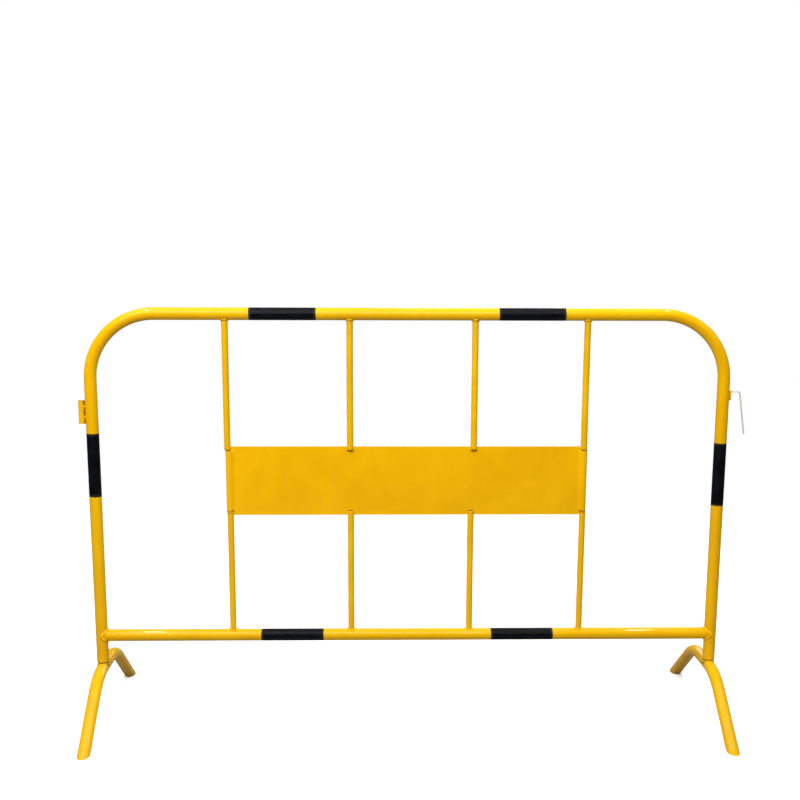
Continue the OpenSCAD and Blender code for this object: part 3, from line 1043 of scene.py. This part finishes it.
WHITE = (1.0, 1.0, 1.0, 1)
FLOOR_GREY = (0.30, 0.30, 0.30, 1)      # what the floor throws back at the barrier
FLOOR_LIFT = 0.38                       # lifts the floor towards white for the eye only
AIR_BELOW, AIR_LEVEL, AIR_OVERHEAD = 0.08, 0.13, 0.26

CAMERA_PLACE = Vector((-0.08498, -2.75030, 1.12103))    # from the middle of the hoop
CAMERA_TURN = (0.02362, 0.19151, 0.00352)               # yaw, pitch and roll in radians
LENS_MM = 53.456
LENS_SHIFT = 0.100


def pale_floor():
    """A pale floor that fades out into the plain background."""
    half, cells = 9.0, 12
    places = [half * (i / cells - 0.5) * 2 for i in range(cells + 1)]
    points = [(x, y, 0.0) for y in places for x in places]
    corners = [j * (cells + 1) + i for j in range(cells) for i in range(cells)]
    faces = [(a, a + 1, a + cells + 2, a + cells + 1) for a in corners]
    mesh = bpy.data.meshes.new("studio_floor")
    mesh.from_pydata(points, [], faces)
    material = bpy.data.materials.new("studio_paper")
    material.use_nodes = True
    tree = material.node_tree
    tree.nodes.clear()
    place = tree.nodes.new("ShaderNodeTexCoord").outputs["Object"]
    colour = blend_colour(tree, noise(tree, place, 60.0, 3.0), (0.90, 0.90, 0.90, 1), (0.93, 0.93, 0.925, 1))
    eye = tree.nodes.new("ShaderNodeLightPath").outputs["Is Camera Ray"]
    colour = blend_colour(tree, eye, FLOOR_GREY, colour)
    matt = wire(tree, "ShaderNodeBsdfDiffuse", {"Color": colour})
    lift = wire(tree, "ShaderNodeEmission",
                {"Color": WHITE, "Strength": sums(tree, "MULTIPLY", eye, FLOOR_LIFT)})
    paper = wire(tree, "ShaderNodeAddShader", {0: matt.outputs[0], 1: lift.outputs[0]})
    clear = tree.nodes.new("ShaderNodeBsdfTransparent")
    reach = wire(tree, "ShaderNodeVectorMath", {0: place}, operation="LENGTH").outputs["Value"]
    fade = rescale(tree, reach, 1.2, 3.6)
    both = wire(tree, "ShaderNodeMixShader", {0: fade, 1: paper.outputs[0], 2: clear.outputs[0]})
    out = tree.nodes.new("ShaderNodeOutputMaterial")
    tree.links.new(both.outputs[0], out.inputs["Surface"])
    mesh.materials.append(material)
    floor = bpy.data.objects.new("studio_floor", mesh)
    bpy.context.scene.collection.objects.link(floor)


def soft_box(name, where, at, wide, tall, power):
    """A rectangular lamp of wide by tall metres, pointed at a place."""
    light = bpy.data.lights.new(name, "AREA")
    light.shape = "RECTANGLE"
    light.size, light.size_y = wide, tall
    light.energy = power
    lamp = bpy.data.objects.new(name, light)
    lamp.location = where
    lamp.rotation_euler = (Vector(at) - Vector(where)).to_track_quat("-Z", "Y").to_euler()
    bpy.context.scene.collection.objects.link(lamp)


def studio_air():
    """White all round for the eye; for the light on the barrier it is bright above and dim below."""
    world = bpy.data.worlds.new("studio_air")
    world.use_nodes = True
    tree = world.node_tree
    tree.nodes.clear()
    way = tree.nodes.new("ShaderNodeTexCoord").outputs["Generated"]
    height = wire(tree, "ShaderNodeSeparateXYZ", {0: way}).outputs[2]
    below = rescale(tree, height, -0.5, 0.0, AIR_BELOW, AIR_LEVEL)
    strength = sums(tree, "ADD", below, rescale(tree, height, 0.05, 0.75, 0.0, AIR_OVERHEAD))
    around = wire(tree, "ShaderNodeBackground", {"Color": WHITE, "Strength": strength})
    seen = wire(tree, "ShaderNodeBackground", {"Color": WHITE, "Strength": 1.0})
    eye = tree.nodes.new("ShaderNodeLightPath").outputs["Is Camera Ray"]
    both = wire(tree, "ShaderNodeMixShader", {0: eye, 1: around.outputs[0], 2: seen.outputs[0]})
    out = tree.nodes.new("ShaderNodeOutputWorld")
    tree.links.new(both.outputs[0], out.inputs["Surface"])
    bpy.context.scene.world = world


def studio_camera():
    """The camera, turned by yaw and pitch, then rolled about the way it looks."""
    yaw, pitch, roll = CAMERA_TURN
    ahead = Vector((math.sin(yaw) * math.cos(pitch), math.cos(yaw) * math.cos(pitch), -math.sin(pitch)))
    right = Vector((math.cos(yaw), -math.sin(yaw), 0))
    up = right.cross(ahead)
    right, up = right * math.cos(roll) + up * math.sin(roll), up * math.cos(roll) - right * math.sin(roll)
    lens = bpy.data.cameras.new("studio_camera")
    lens.sensor_width = 36
    lens.lens = LENS_MM
    lens.shift_y = LENS_SHIFT
    camera = bpy.data.objects.new("studio_camera", lens)
    turn = Matrix((right, up, -ahead)).transposed().to_4x4()
    camera.matrix_world = Matrix.Translation(CAMERA_PLACE + HOOP_MIDDLE) @ turn
    bpy.context.scene.collection.objects.link(camera)
    bpy.context.scene.camera = camera


# ---- building ----

hoop()
bottom_rail()
rail_beads()
all_bars()
bar_beads("top_beads", "upper_bar_welds", UPPER_X, TOP_Z, -1)
bar_beads("low_beads", "lower_bar_welds", LOWER_X, RAIL_Z, 1)
sign_panel()
panel_beads()
all_bands()
link_hook()
hook_bead()
link_socket()
socket_tacks()
for side_name, leg in (("left", -LEG_X), ("right", LEG_X)):
    foot(side_name, leg)
    spigot(side_name, leg)
    spigot_bead(side_name, leg)

pale_floor()
studio_air()
soft_box("key_box", (-0.65, -2.0, 2.4), (-0.05, 0, 0.7), 3.0, 1.6, 77)
soft_box("left_strip", (-1.07, -0.50, 2.6), (-1.07, -0.30, 0.1), 0.09, 0.8, 13)
soft_box("right_strip", (1.09, -0.50, 2.6), (1.09, -0.30, 0.1), 0.09, 0.8, 13)
soft_box("top_box", (0.0, -0.1, 2.6), (0, 0, 0.4), 3.4, 0.3, 14)
soft_box("back_box", (1.0, 3.0, 1.8), (0, 0, 0.5), 2.2, 1.4, 46)
studio_camera()
bpy.context.scene.view_settings.view_transform = "Standard"
